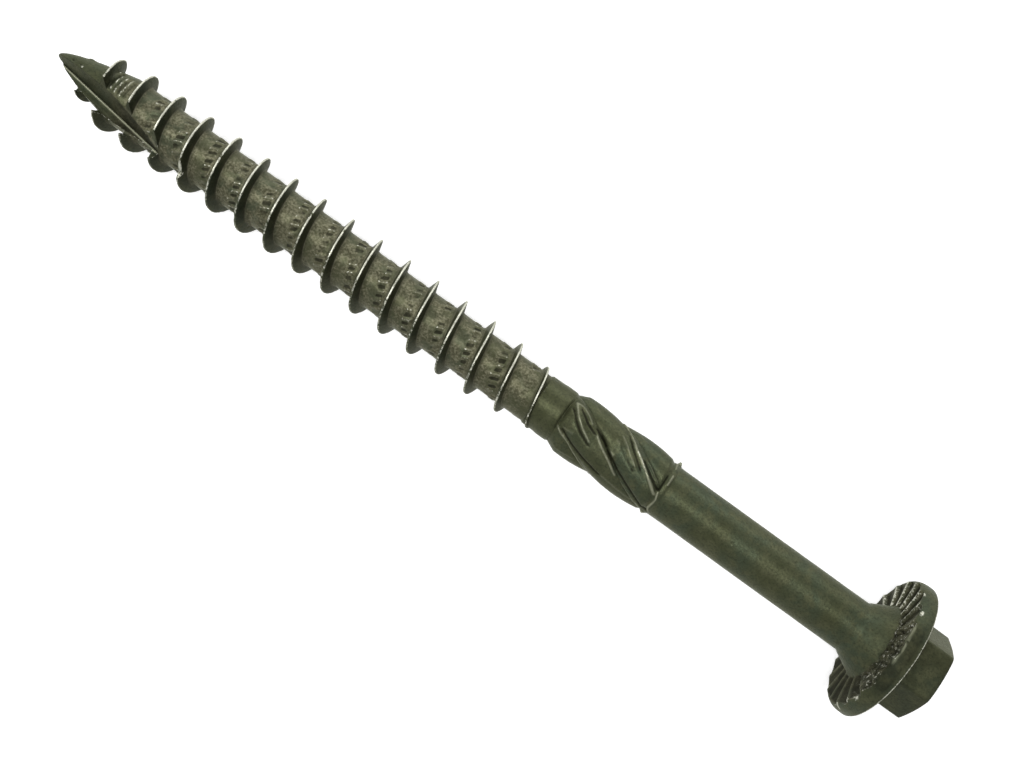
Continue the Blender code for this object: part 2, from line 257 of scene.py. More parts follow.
# The camera looks straight at the screw's axis from this height over a place (local Y, local Z),
# in millimetres. Its focal length and shift are in pixels of the photograph, and the nearest
# distance that it shows is in metres.
CAMERA_HEIGHT = 100.0
CAMERA_OVER = (0.22, 52.9)
CAMERA_ROLL = math.radians(35.8)
PHOTO_WIDTH = 1024
FOCAL_LENGTH = 1160
CAMERA_SHIFT = (-43.3, 31.2)
SENSOR_WIDTH = 36
NEAREST_SEEN = 0.001

random = np.random.RandomState(7)


def share_of(value, start, end):
    return np.clip((value - start) / (end - start), 0.0, 1.0)


def smooth(value, start, end):
    share = share_of(value, start, end)
    return share * share * (3 - 2 * share)


def between(low, high, share):
    return low + (high - low) * share


def grain(points, size, seed=0.0):
    """Smooth noise from about -1 to 1 with features of the given size, one value a point."""
    shift = Vector((seed * 17.3, seed * 5.1, seed * 9.7))
    return np.array([noise.noise(Vector(point) / size + shift) for point in points])


def core_radius(z):
    return ROOT_RADIUS * share_of(z, 0.0, POINT_LENGTH) ** POINT_POWER


def thread_height(z):
    run_in = share_of(z, THREAD_START, THREAD_START + THREAD_RUN_IN) ** RUN_IN_POWER
    run_out = share_of(z, THREAD_LENGTH, THREAD_LENGTH - THREAD_RUN_OUT) ** RUN_OUT_POWER
    return (THREAD_RADIUS - ROOT_RADIUS) * run_in * run_out


def mesh_object(name, points, faces):
    """A closed, outward facing and triangulated object from points and faces."""
    mesh = bpy.data.meshes.new(name)
    mesh.from_pydata([tuple(point) for point in points], [], faces)
    data = bmesh.new()
    data.from_mesh(mesh)
    bmesh.ops.remove_doubles(data, verts=data.verts, dist=WELD_DISTANCE)
    bmesh.ops.holes_fill(data, edges=[edge for edge in data.edges if edge.is_boundary])
    bmesh.ops.triangulate(data, faces=data.faces)
    bmesh.ops.recalc_face_normals(data, faces=data.faces)
    data.to_mesh(mesh)
    data.free()
    item = bpy.data.objects.new(name, mesh)
    bpy.context.scene.collection.objects.link(item)
    return item


def drawn_lines(z, angle, lines, radius=LINE_RADIUS, widen=1.0):
    """The height that ridges (above zero) and grooves (below it) add at each place."""
    z, angle = np.broadcast_arrays(z, angle)
    total = np.zeros(z.shape)
    for height, width, route in lines:
        route = np.array(route, float)
        middle = math.radians(route[:, 1].mean())
        across = radius * ((angle - middle + np.pi) % (2 * np.pi) - np.pi)
        path = np.stack([route[:, 0], radius * (np.radians(route[:, 1]) - middle)], 1)
        nearest = np.full(z.shape, np.inf)
        for start, end in zip(path, path[1:]):
            step = end - start
            share = ((z - start[0]) * step[0] + (across - start[1]) * step[1]) / (step @ step)
            share = np.clip(share, 0, 1)
            gap = np.hypot(z - start[0] - share * step[0], across - start[1] - share * step[1])
            nearest = np.minimum(nearest, gap)
        total += height * np.exp(-((nearest / (width * widen)) ** 2))
    return total


# Thread

def grip_ticks(columns, rows):
    """Heights on the root's grid: plain slanted ticks, each in a shallow bed."""
    heights = np.zeros((columns, rows))
    row = np.arange(rows)
    middle = TICK_SPACING
    while middle < columns - 2 * rows:
        first, last = random.uniform(0.0, 2.0), rows - random.uniform(0.5, 3.0)
        strength = random.uniform(0.6, 1.0)
        ends = smooth(row, first - 1, first + 0.5) * smooth(row, last + 1, last - 0.5)
        start = round(middle) - TICK_REACH
        column = np.arange(start, start + 2 * TICK_REACH + rows)[:, None]
        gap = column - middle - TICK_SLANT * row
        stroke = np.exp(-((gap / TICK_HALF_WIDTH) ** 2)) * (1 + TICK_BED)
        bed = TICK_BED * np.exp(-((gap / TICK_BED_HALF_WIDTH) ** 2))
        heights[column[:, 0]] += strength * (stroke - bed) * ends
        middle += TICK_SPACING * random.uniform(0.85, 1.2)
    return heights


def thread_profile(height):
    """The thread's section from the middle of one root to the next, as columns (offset, rise)."""
    half_crest = CREST_WIDTH / 2
    foot = half_crest + height * math.tan(FLANK_ANGLE)
    fillet = np.minimum(FOOT_FILLET, height)
    low = fillet * FILLET_RISE

    def half_profile(steep_at, root_rows):
        rows = [
            (0.7 * half_crest + 0 * height, height),
            (half_crest + 0 * height, height - 0.02 * share_of(height, 0, 0.3)),
        ]
        for share in steep_at:
            rows.append((between(half_crest, foot, share), between(height, low, share)))
        rows += [(foot, low), (foot + fillet, 0 * height)]
        for row in range(1, root_rows + 1):
            share = row / (root_rows + 0.5)
            rows.append((between(foot + fillet, PITCH / 2, share), 0 * height))
        return rows

    behind = [(-offset, rise) for offset, rise in half_profile((0.14, 0.6), ROOT_ROWS_BEHIND)]
    crest = [(0 * height, height)]
    ahead = half_profile((0.14, 0.5, 0.86), ROOT_ROWS_AHEAD)
    return np.stack(behind[::-1] + crest + ahead, -1)


def worn_thread(points, z, rise, radius):
    """The coating and the rolled metal are a little uneven, and the crest has small nicks."""
    flat = points.reshape(-1, 3)
    swells = [swell * grain(flat, size, seed) for size, swell, seed in THREAD_SWELLS]
    uneven = sum(swells).reshape(z.shape)
    nick = smooth(grain(flat, NICK_SIZE, 2), 0.35, 0.6).reshape(z.shape)
    crest = share_of(rise, 0.8, 1.05)
    change = uneven * smooth(z, 0.3, 2.0) - NICK_DEPTH * nick * crest - CREST_LOSS * crest
    scale = 1 + change / np.maximum(radius, 0.3)
    points[..., :2] *= scale[..., None]
    return points


def threaded_core():
    """The point, the thread and its root as one sheet wound along the helix."""
    crest_at_zero = THREAD_PHASE % PITCH - 2 * PITCH
    turns = math.ceil((CUTTER_START - crest_at_zero) / PITCH) + 1
    steps = turns * THREAD_SIDES
    step = np.arange(steps + 1)
    angle = 2 * np.pi * step / THREAD_SIDES
    crest_z = crest_at_zero + PITCH * step / THREAD_SIDES
    offset, rise = thread_profile(thread_height(crest_z))
    z = np.clip(crest_z[:, None] + offset, POINT_BLUNT_LENGTH, CUTTER_START)
    turned = np.broadcast_to(angle[:, None], z.shape)
    ticks = np.zeros(z.shape)
    ticks[:, ROOT_ROWS_BEHIND - 1::-1] = grip_ticks(steps + 1, ROOT_ROWS_BEHIND)
    ticks *= smooth(z, *TICKS_BEGIN) * smooth(z, *TICKS_END)
    radius = core_radius(z) + rise + TICK_HEIGHT * ticks
    radius += drawn_lines(z, turned, POINT_LINES, POINT_LINE_RADIUS) * (rise < 0.1)
    points = worn_thread(ring_points(radius, turned, z), z, rise, radius)
    rows = points.shape[1]
    index = np.arange(points.shape[0] * rows).reshape(-1, rows)
    here, ahead = index[:-1], index[1:]
    quads = np.stack([here[:, :-1], ahead[:, :-1], ahead[:, 1:], here[:, 1:]], -1)
    faces = quads.reshape(-1, 4).tolist()
    for start in range(steps - THREAD_SIDES):
        over = index[start + THREAD_SIDES:start + THREAD_SIDES + 2, 0]
        faces.append([index[start][-1], index[start + 1][-1], over[1], over[0]])
    return mesh_object("threaded_core", points.reshape(-1, 3), faces)


# Rings and lofts

def loft(name, rings):
    points = np.concatenate([np.asarray(ring, float) for ring in rings])
    sides = len(rings[0])
    faces = []
    for ring in range(len(rings) - 1):
        low, high = ring * sides, (ring + 1) * sides
        for side in range(sides):
            after = (side + 1) % sides
            faces.append((low + side, low + after, high + after, high + side))
    return mesh_object(name, points, faces)


def ring_points(radius, angle, z):
    radius, angle, z = np.broadcast_arrays(radius, angle, z)
    return np.stack([radius * np.cos(angle), radius * np.sin(angle), z], -1)


def soften(ring, amount=0.008, size=1.6):
    """Lets a ring of points wander a little, as forged and coated metal does."""
    radius = np.hypot(ring[:, 0], ring[:, 1])
    change = amount * (grain(ring, size, 4) - 1)
    ring[:, :2] *= (1 + change / radius)[:, None]
    return ring


# Collar, cutter and shank

def lobe_rise(z, angle):
    """How far the cutter's lobes have risen at each angle, from 0 in a valley to 1."""
    turned = 2 * math.pi * (z - CUTTER_START) / CUTTER_LEAD
    share = ((angle - turned - CUTTER_PHASE) * CUTTER_LOBES / (2 * np.pi)) % 1.0
    return np.sin(np.pi * share) ** CUTTER_LOBE_POWER


def rolled_lines(z, angle):
    lines = drawn_lines(z, angle, CUTTER_LINES, widen=CUTTER_LINE_WIDENING)
    lines += drawn_lines(z, angle + np.pi, CUTTER_LINES, widen=CUTTER_LINE_WIDENING)
    return lines + drawn_lines(z, angle, SHOULDER_LINES)


def body_radius(z, angle):
    """The radius of the collar, the cutter and the shank, before the rolled lines."""
    step_at = CUTTER_START - COLLAR_THICK_LENGTH
    thicker = smooth(z, step_at - COLLAR_STEP, step_at + COLLAR_STEP)
    collar = between(COLLAR_THIN_RADIUS, COLLAR_RADIUS, thicker)
    deep_side = smooth(np.cos(angle + 0.12), 0.7, 0.95)
    groove_at = (z - CUTTER_START) / (0.6 * GROOVE_LENGTH)
    groove = (COLLAR_RADIUS - GROOVE_RADIUS) * np.exp(-(groove_at ** 2)) * (0.25 + 0.75 * deep_side)
    ramp = share_of(z, CUTTER_START, CUTTER_START + CUTTER_RAMP)
    ramp_end = 1 - 0.5 * smooth(z, CUTTER_END - 0.4, CUTTER_END)
    rise = (CUTTER_PEAK_RADIUS - CUTTER_VALLEY_RADIUS) * ramp * ramp_end
    cutter = CUTTER_VALLEY_RADIUS + rise * lobe_rise(z, angle)
    shoulder = SHOULDER_RISE * smooth(z, CUTTER_END + SHOULDER_LENGTH, CUTTER_END + 0.4)
    body = between(cutter, SHANK_RADIUS + shoulder, smooth(z, CUTTER_END - 0.05, CUTTER_END + 0.2))
    return between(collar, body, smooth(z, CUTTER_START - 0.05, CUTTER_START + 0.08)) - groove


def shank_body():
    angle = 2 * np.pi * np.arange(CUTTER_SIDES) / CUTTER_SIDES
    stations = np.concatenate([
        np.linspace(COLLAR_START, CUTTER_START - 0.6, 9),
        np.linspace(CUTTER_START - 0.5, CUTTER_START, 9),
        np.linspace(CUTTER_START + 0.1, CUTTER_END, 82),
        np.linspace(CUTTER_END + 0.07, CUTTER_END + SHOULDER_LENGTH + 0.1, 12),
        np.linspace(CUTTER_END + SHOULDER_LENGTH + 0.5, NECK_START + JOIN_DEPTH, 20),
    ])
    rings = [ring_points(ROOT_RADIUS - SEAM_INSET, angle, COLLAR_START - COLLAR_STEP)]
    for z in stations:
        # The rings lean with the lobes, so that the long edges follow the valleys
        turned = 2 * math.pi * share_of(z, CUTTER_START, CUTTER_END) * CUTTER_LENGTH / CUTTER_LEAD
        leaning = angle + CUTTER_PHASE + turned
        rolled = rolled_lines(z, leaning) * smooth(z, CUTTER_START, CUTTER_START + 0.3)
        rings.append(soften(ring_points(body_radius(z, leaning) + rolled, leaning, z), 0.014, 0.9))
    return loft("construction_screw_visual", rings)


# Neck, flange and drive

def tooth_skew(radius):
    """The teeth run slantwise: their inner ends are turned on from their outer ends."""
    return TOOTH_SKEW * share_of(radius, TEETH_OUTER_RADIUS, TEETH_INNER_RADIUS)


def near_camera(angle):
    """1 on the side of the flange that looks up, where the teeth are filled and scraped."""
    return smooth(np.cos(angle), 0.5, 0.9)


def flange_angles():
    """The angles of the corners of every tooth."""
    share = np.array([place for place, _ in TOOTH_PROFILE])
    tooth = 2 * np.pi / TEETH
    return (TOOTH_PHASE + tooth * (np.arange(TEETH)[:, None] + share)).ravel()


def flange_ring(radius, z):
    return ring_points(radius, flange_angles() + tooth_skew(radius), z)


def neck_rings():
    rings = [
        flange_ring(SHANK_RADIUS - 2 * SEAM_INSET, NECK_START - JOIN_DEPTH),
        flange_ring(SHANK_RADIUS - SEAM_INSET, NECK_START - 0.1),
        soften(flange_ring(SHANK_RADIUS + 0.05, NECK_START + NECK_FILLET * 0.5)),
    ]
    for step in range(9):
        z = between(NECK_START + NECK_FILLET, LENGTH_UNDER_HEAD - 0.12, step / 8)
        along = (z - NECK_START - NECK_FILLET) / (LENGTH_UNDER_HEAD - NECK_START - NECK_FILLET)
        radius = between(SHANK_RADIUS + NECK_FILLET_RISE, NECK_BASE_RADIUS, along)
        rings.append(soften(flange_ring(radius, z), 0.02, 1.4))
    return rings


def teeth_rings():
    """The saw teeth, filled and worn here and there, mostly on the side near the camera."""
    depth = np.tile([down for _, down in TOOTH_PROFILE], TEETH)
    facing = near_camera(flange_angles())
    rings = []
    for radius, full in TEETH_RINGS:
        ring = flange_ring(radius, LENGTH_UNDER_HEAD + 0.12 * smooth(radius, 6.2, 6.35))
        worn = 0.5 + 0.5 * grain(ring, 0.6, 6)
        fill = 1 - (0.08 + 0.6 * facing) * smooth(worn, 0.35, 0.7)
        ring[:, 2] += depth * full * fill
        ring[:, 2] += (0.02 + 0.09 * facing) * grain(ring, 0.32, 8) * full
        rings.append(ring)
    return rings


def rim_and_top_rings():
    places = []
    for bend_share in np.linspace(0.25, 1.0, 8):
        bend = math.pi / 2 * bend_share
        radius = between(TEETH_OUTER_RADIUS, FLANGE_RADIUS, math.sin(bend))
        places.append((radius, between(RIM_WIDEST_AT, LENGTH_UNDER_HEAD + 0.15, math.cos(bend))))
    places += [
        (FLANGE_RADIUS, RIM_TOP_AT - RIM_TOP_CHAMFER),
        (FLANGE_RADIUS - 0.03, RIM_TOP_AT - RIM_TOP_CHAMFER * 0.6),
        (FLANGE_RADIUS - 0.1, RIM_TOP_AT - RIM_TOP_CHAMFER * 0.2),
        (FLANGE_RADIUS - RIM_TOP_CHAMFER, RIM_TOP_AT),
        (6.0, RIM_TOP_AT + 0.04),
        (5.2, RIM_TOP_AT + 0.14),
        (4.4, RIM_TOP_AT + 0.24),
        (HEX_ACROSS_FLATS / 2 - JOIN_DEPTH, RIM_TOP_AT + FLANGE_TOP_RISE),
    ]
    return [soften(flange_ring(radius, z), 0.012, 1.2) for radius, z in places]


def neck_and_flange():
    return loft("neck_and_flange", neck_rings() + teeth_rings() + rim_and_top_rings())


def hex_outline():
    """The hexagon's points: an arc at each corner and a row along each flat."""
    corner_centre = (HEX_ACROSS_FLATS / 2 - HEX_CORNER_RADIUS) / math.cos(math.pi / 6)

    def arc_point(corner_at, bend):
        x, y = corner_centre * math.cos(corner_at), corner_centre * math.sin(corner_at)
        return Vector((x, y, 0)) + HEX_CORNER_RADIUS * Vector((math.cos(bend), math.sin(bend), 0))

    outline = []
    for corner in range(6):
        at = HEX_PHASE + corner * math.pi / 3
        for index in range(9):
            outline.append(arc_point(at, at + math.radians(between(-30, 30, index / 8))))
        after = at + math.pi / 3
        flat_start, flat_end = outline[-1], arc_point(after, after - math.pi / 6)
        outline += [flat_start.lerp(flat_end, index / 7) for index in range(1, 7)]
    return np.array(outline)


def hex_drive():
    outline = hex_outline()
    radius = np.hypot(outline[:, 0], outline[:, 1])
    away = outline[:, :2] / radius[:, None]

    def crown(value):
        return HEAD_END - CROWN_HEIGHT * share_of(value, HEX_END_RADIUS, radius.max()) ** CROWN_POWER

    def level(value, z, uneven=0.012):
        ring = np.empty((len(radius), 3))
        ring[:, :2] = away * value[:, None]
        ring[:, 2] = z
        return soften(ring, uneven, 1.5)

    rings = [level(radius, RIM_TOP_AT - JOIN_DEPTH)]
    for share in (0.3, 0.45, 0.6, 0.75, 0.9):
        rings.append(level(radius, between(RIM_TOP_AT - JOIN_DEPTH, crown(radius), share)))
    rings.append(level(radius, crown(radius) - 0.1))
    rings.append(level(radius - 0.025, crown(radius) - 0.03))
    for share in (0.12, 0.4, 0.7, 1.0):
        value = between(radius, HEX_END_RADIUS, share)
        rings.append(level(value, crown(value) - 0.02 * (1 - share), 0.0))
    for value in (3.3, 2.6, 1.4):
        z = HEAD_END - 0.004 * (HEX_END_RADIUS - value)
        rings.append(level(np.full_like(radius, value), z, 0.0))
    return loft("hex_drive", rings)


# Slot in the point

def ripple(height, out, run, level):
    """Smooth noise of the given height, at a place across and along a face of the slot."""
    return height * noise.noise(Vector((out, run, level)))


def slot_cutter():
    """The bar that cuts the slot. A small lip and fine drag lines run along its two faces."""
    along = (SLOT_EXIT - SLOT_ENTRY).normalized()
    upper, lower, wall = (
        Vector((math.cos(angle), math.sin(angle), 0))
        for angle in (SLOT_UPPER_ANGLE, SLOT_LOWER_ANGLE, SLOT_WALL_ANGLE)
    )
    stations = np.concatenate([[-SLOT_REACH], np.linspace(-2.2, 11.5, 76), [SLOT_REACH + 10]])
    rings = []
    for run in stations:
        corner = SLOT_ENTRY + along * float(run)
        ring = [corner + (upper + wall) * SLOT_REACH, corner + upper * SLOT_REACH]
        for out in reversed(UPPER_FACE_ROWS):
            drag = ripple(0.018, out * 5, run * 0.22, 1.0)
            lines = ripple(0.03, out * 0.8, run * 2.2, 4.0) * min(1.0, out / 0.6)
            lip = -0.03 * math.exp(-((out - 0.07) / 0.05) ** 2)
            ring.append(corner + upper * out + lower * (drag + lines + lip))
        ring.append(corner)
        for out in LOWER_FACE_ROWS:
            drag = ripple(0.02, out * 6, run * 0.2, 9.0)
            lip = 0.055 * math.exp(-((out - 0.12) / 0.06) ** 2)
            dent = ripple(0.03, out * 1.5, run * 1.3, 3.0) * min(1.0, out / 0.5)
            ring.append(corner + lower * out + upper * (drag + lip + dent))
        edge = corner + lower * (SLOT_LOWER_WIDTH + ripple(0.12, 0.0, run * 0.9, 6.0))
        for out in WALL_ROWS:
            wavy = ripple(0.16, out * 0.9, run * 1.3, 5.0) * min(1.0, out / 0.3)
            ring.append(edge + wall * out + lower * wavy)
        ring.append(edge + wall * SLOT_REACH)
        rings.append(ring)
    return loft("slot_cutter", rings)


# One solid

def boolean(target, other, operation):
    modifier = target.modifiers.new(other.name, "BOOLEAN")
    modifier.operation = operation
    modifier.solver = "EXACT"
    modifier.object = other


def one_solid():
    """The screw as one closed mesh: its parts joined, then the slot cut out."""
    screw = shank_body()
    helpers = [threaded_core(), neck_and_flange(), hex_drive(), slot_cutter()]
    for helper in helpers[:-1]:
        boolean(screw, helper, "UNION")
    boolean(screw, helpers[-1], "DIFFERENCE")
    bpy.context.view_layer.update()
    evaluated = screw.evaluated_get(bpy.context.evaluated_depsgraph_get())
    mesh = bpy.data.meshes.new_from_object(evaluated)
    screw.modifiers.clear()
    screw.data = mesh
    for helper in helpers:
        bpy.data.objects.remove(helper)
    data = bmesh.new()
    data.from_mesh(mesh)
    bmesh.ops.remove_doubles(data, verts=data.verts, dist=SMALLEST_EDGE)
    bmesh.ops.dissolve_degenerate(data, edges=data.edges, dist=SMALLEST_EDGE)
    bmesh.ops.triangulate(data, faces=[face for face in data.faces if len(face.verts) > 4])
    data.to_mesh(mesh)
    data.free()
    mesh.name = "construction_screw_visual"
    return screw


# Where it is worn or dirty, and where highlights and shade are painted

def vertex_vectors(mesh, name):
    values = np.empty(len(mesh.vertices) * 3)
    mesh.vertices.foreach_get(name, values)
    return values.reshape(-1, 3)


def edge_ends(mesh):
    edges = np.empty(len(mesh.edges) * 2, int)
    mesh.edges.foreach_get("vertices", edges)
    return edges.reshape(-1, 2).T


def curvature(mesh, points):
    """Positive on edges that stick out, negative in corners."""
    normals = vertex_vectors(mesh, "normal")
    a, b = edge_ends(mesh)
    gap = points[b] - points[a]
    length = np.maximum(np.linalg.norm(gap, axis=1, keepdims=True), 1e-6)
    gap /= length
    total = np.zeros(len(points))
    weight = np.zeros(len(points))
    for start, way in ((a, 1.0), (b, -1.0)):
        np.add.at(total, start, -way * np.einsum("ij,ij->i", normals[start], gap))
        np.add.at(weight, start, 1.0)
    return total / np.maximum(weight, 1)


def spread(mesh, values):
    """Each point's value averaged with those of its neighbours."""
    a, b = edge_ends(mesh)
    total = values.copy()
    weight = np.ones(len(values))
    for start, end in ((a, b), (b, a)):
        np.add.at(total, start, values[end])
        np.add.at(weight, start, 1.0)
    return total / weight


def slot_faces(points):
    """How far each point lies from the slot's corner along its upper and its lower face."""
    along = SLOT_EXIT - SLOT_ENTRY
    share = (points[:, 2] - SLOT_ENTRY.z) / along.z
    x = points[:, 0] - SLOT_ENTRY.x - share * along.x
    y = points[:, 1] - SLOT_ENTRY.y - share * along.y
    u, v = SLOT_UPPER_ANGLE, SLOT_LOWER_ANGLE
    opening = math.sin(v - u)
    on_upper = (x * math.sin(v) - y * math.cos(v)) / opening
    on_lower = (y * math.cos(u) - x * math.sin(u)) / opening
    return on_upper, on_lower, (share > -0.1) & (share < 1.0)


class Surface:
    """The finished screw's points, and the layers that its material reads, one value a point:
    wear_and_highlight is bare metal and painted glints and highlights, shade_and_grime is grime
    and painted shade, painted_highlight is a pale painted highlight, root is the browner thread
    root, relief is the height of the ticks there, and scuff is where dirt and scrapes mix."""

    def __init__(self, mesh):
        self.mesh = mesh
        self.points = vertex_vectors(mesh, "co")
        self.radius = np.hypot(self.points[:, 0], self.points[:, 1])
        self.angle = np.arctan2(self.points[:, 1], self.points[:, 0])
        self.z = self.points[:, 2]
        turned = PITCH * self.angle / (2 * np.pi)
        # How far each point lies from the nearest crest, and what share of its height it is up
        self.offset = (self.z - THREAD_PHASE - turned + PITCH / 2) % PITCH - PITCH / 2
        self.height = thread_height(self.z - self.offset)
        self.up = (self.radius - core_radius(self.z)) / np.maximum(self.height, 0.05)

    def paint_thread(self):
        """Crests worn bright and painted brighter on the lit side than on the shaded side, and painted
        shade on the flanks towards the head and in the hollows.
        """
        z, up = self.z, self.up
        on_collar = (z < COLLAR_START + 1.4) & (self.radius > COLLAR_RADIUS + 0.02)
        threaded = (z < COLLAR_START - COLLAR_STEP) | on_collar
        bend = curvature(self.mesh, self.points)
        sharp = smooth(bend, 0.1, 0.3)
        # Painted shade: darker in the hollows and creases
        hollow = spread(self.mesh, smooth(-bend, 0.04, 0.22))
        stands = smooth(self.height, 0.1, 0.4) * threaded
        crest = smooth(up, 0.9, 0.97) * stands
        # Painted shade on the thread's flanks that face the head
        flank = smooth(up, 0.06, 0.12) * stands * (self.offset > 0) * (1 - crest)
        # The crests are worn bright, and painted less bright on the shaded side
        crest_wear_and_highlight = crest * between(1.0, 0.58, smooth(np.sin(self.angle), -0.1, 0.4))
        self.wear_and_highlight = np.where(threaded, np.maximum(crest_wear_and_highlight, 0.8 * sharp), 0.55 * sharp)
        self.shade_and_grime = np.maximum(hollow, 0.6 * flank)
        self.root = smooth(up, 0.25, 0.05) * smooth(z, *BROWN_BEGINS) * smooth(z, *BROWN_ENDS)
        relief = np.clip((self.radius - core_radius(z)) / TICK_HEIGHT, -1.5, 1.5)
        self.relief = relief * (self.root > 0)

    def paint_slot(self):
        """Painted shade on the upper face, a painted highlight on the lip along the corner, and the
        small marks on the point, with painted highlights on their ridges and painted shade in their
        grooves.
        """
        z = self.z
        on_upper, on_lower, in_slot = slot_faces(self.points)
        upper_face = smooth(np.abs(on_lower), 0.08, 0.04) * (on_upper > 0) * in_slot
        lower_face = smooth(np.abs(on_upper), 0.1, 0.06) * (on_lower > 0) * in_slot
        # Painted highlight on the lip along the slot's corner
        lip = lower_face * smooth(on_lower, 0.02, 0.07) * smooth(on_lower, 0.24, 0.15)
        # Painted shade on the slot's upper face, strongest by the corner, and a little on its lower
        # face
        shade_farther_out = 0.55 - 0.35 * smooth(z, 8.0, 11.0)
        upper_face_shade = upper_face * between(1.0, shade_farther_out, smooth(on_upper, 0.06, 0.18))
        self.wear_and_highlight = self.wear_and_highlight * (1 - 0.8 * upper_face) * (1 - lip)
        self.shade_and_grime = np.maximum(self.shade_and_grime, np.maximum(upper_face_shade, 0.3 * lower_face)) * (1 - lip)
        # Painted highlights on the point's small ridges and painted shade in its grooves
        marks = drawn_lines(z, self.angle, POINT_LINES, POINT_LINE_RADIUS)
        marks = np.where(z < POINT_LINES_END, marks, 0.0) * smooth(self.up, 0.5, 0.2)
        marks *= (1 - upper_face) * (1 - lower_face)
        self.painted_highlight = np.maximum(lip, 0.2 * smooth(marks, 0.02, 0.08))
        self.shade_and_grime = np.maximum(self.shade_and_grime, 0.8 * smooth(-marks, 0.02, 0.07))

    def paint_cutter(self):
        """Painted highlights on the ridges, one of them rubbed to bare metal, and painted shade in the
        grooves and valleys.
        """
        z, angle = self.z, self.angle
        cutter = (z > CUTTER_START - 0.4) & (z < CUTTER_END + 1.0)
        rolled = np.zeros(len(z))
        rolled[cutter] = rolled_lines(z[cutter], angle[cutter])
        in_lobes = (z > CUTTER_START + 0.4) & (z < CUTTER_END)
        # Painted shade in the valleys and grooves, and painted highlights on the raised lines
        valley = smooth(lobe_rise(z, angle), 0.3, 0.05) * in_lobes
        raised = smooth(rolled, 0.03, 0.11)
        rubbed_z, rubbed_angle = RUBBED_PLACE
        away = np.hypot(z - rubbed_z, LINE_RADIUS * (angle - rubbed_angle))
        rubbed = smooth(rolled, 0.1, 0.14) * smooth(away, RUBBED_FADE[1], RUBBED_FADE[0])
        dark = np.maximum(0.95 * smooth(-rolled, 0.01, 0.08), 0.4 * valley)
        self.wear_and_highlight = np.where(cutter, rubbed, self.wear_and_highlight)
        self.painted_highlight = np.where(cutter, 0.8 * raised, self.painted_highlight)
        self.shade_and_grime = np.where(cutter & (z > CUTTER_START), dark * (1 - raised), self.shade_and_grime)

    def paint_teeth(self):
        """Painted highlights on the teeth's crests, least on the lower left, painted shade on their
        ramps, and dirt on the filled teeth.
        """
        z, radius, angle = self.z, self.radius, self.angle
        inner, outer = TEETH_PAINT_RADII
        teeth = (radius > inner) & (radius < outer)
        teeth &= (z > HEAD_PAINT_START) & (z < LENGTH_UNDER_HEAD + TEETH_PAINT_DEPTH)
        turn = (angle - TOOTH_PHASE - tooth_skew(radius)) * TEETH / (2 * np.pi)
        from_crest = np.abs((turn + 0.5) % 1.0 - 0.5 + 0.01)
        facing = near_camera(angle)
        # Painted highlights on the teeth's crests, weaker on the lower left where less light falls
        crest = smooth(from_crest, 0.1, 0.03) * (1 - 0.7 * facing)
        crest *= between(1.0, 0.15, smooth(np.sin(angle), -0.2, 0.4))
        # Painted shade on the ramps that face away from the light
        shade_and_dirt = smooth(from_crest, 0.06, 0.13) * smooth(radius, 6.3, 6.1) * (0.9 - 0.3 * facing)
        self.wear_and_highlight = np.where(teeth, 0.8 * crest, self.wear_and_highlight)
        self.shade_and_grime = np.where(teeth, np.maximum(shade_and_dirt, 0.35 * facing), self.shade_and_grime)
        self.root = np.where(teeth, 0.7, self.root)
        self.scuff = teeth * facing

    def paint_head(self):
        """Painted glints and a pale smear painted as a highlight round the flange, its rim edge worn
        and painted bright, painted shade on the flange's top and rim, and the head painted darker.
        """
        z, radius, angle = self.z, self.radius, self.angle
        head = z > HEAD_PAINT_START
        under_rim = head & (z < RIM_WIDEST_AT)
        # Painted glints at the outer ends of the teeth
        glint = np.zeros(len(z))
        for degrees, out, size in TOOTH_GLINTS:
            turn = math.radians(degrees)
            x, y = out * math.cos(turn), out * math.sin(turn)
            gap = np.hypot(self.points[:, 0] - x, self.points[:, 1] - y)
            glint = np.maximum(glint, smooth(gap, size, 0.4 * size))
        glint *= under_rim
        # A pale smear painted as a highlight
        smear = smooth(np.abs(radius - 6.4), 0.12, 0.02) * under_rim
        smear *= smooth(np.abs(np.degrees(angle) + 12), 19, 13)
        smear[smear > 0] *= smooth(grain(self.points[smear > 0], 0.3, 12), -0.45, 0.25)
        # The rim's top edge, worn and painted bright as a highlight
        rim_edge = smooth(z, RIM_TOP_AT - 0.18, RIM_TOP_AT - 0.1) * smooth(radius, 6.4, 6.5) * head
        self.wear_and_highlight = np.maximum(self.wear_and_highlight, np.maximum(glint, 0.8 * rim_edge))
        self.painted_highlight = np.maximum(self.painted_highlight, 0.6 * smear)

        # Painted shadow on the flange's top beside the drive
        top = smooth(z, RIM_TOP_AT - 0.02, RIM_TOP_AT + 0.02) * (z < RIM_TOP_AT + 0.5)
        top *= smooth(radius, 6.45, 6.2)
        # Painted shade on the rim's band on the side that looks up
        rim = head * (radius > 6.2) * (z < RIM_TOP_AT - 0.2) * smooth(np.cos(angle), 0.72, 0.96)
        shade_and_dirt = np.maximum(self.shade_and_grime, np.maximum(0.7 * top, 0.75 * rim)) * (1 - glint) * (1 - smear)
        # The drive is painted darker than the neck, but for its facet that is lit from above: painted
        # light and shade on its facets
        drive = z > RIM_TOP_AT + 0.1
        lit_facet = smooth(np.cos(angle - HEX_PHASE + math.pi / 6), 0.86, 0.9)
        darker_head = smooth(z, NECK_START, NECK_START + 0.5) * (1 - glint) * (1 - drive * lit_facet)
        self.shade_and_grime = np.maximum(shade_and_dirt, (0.3 + 0.22 * drive) * darker_head)

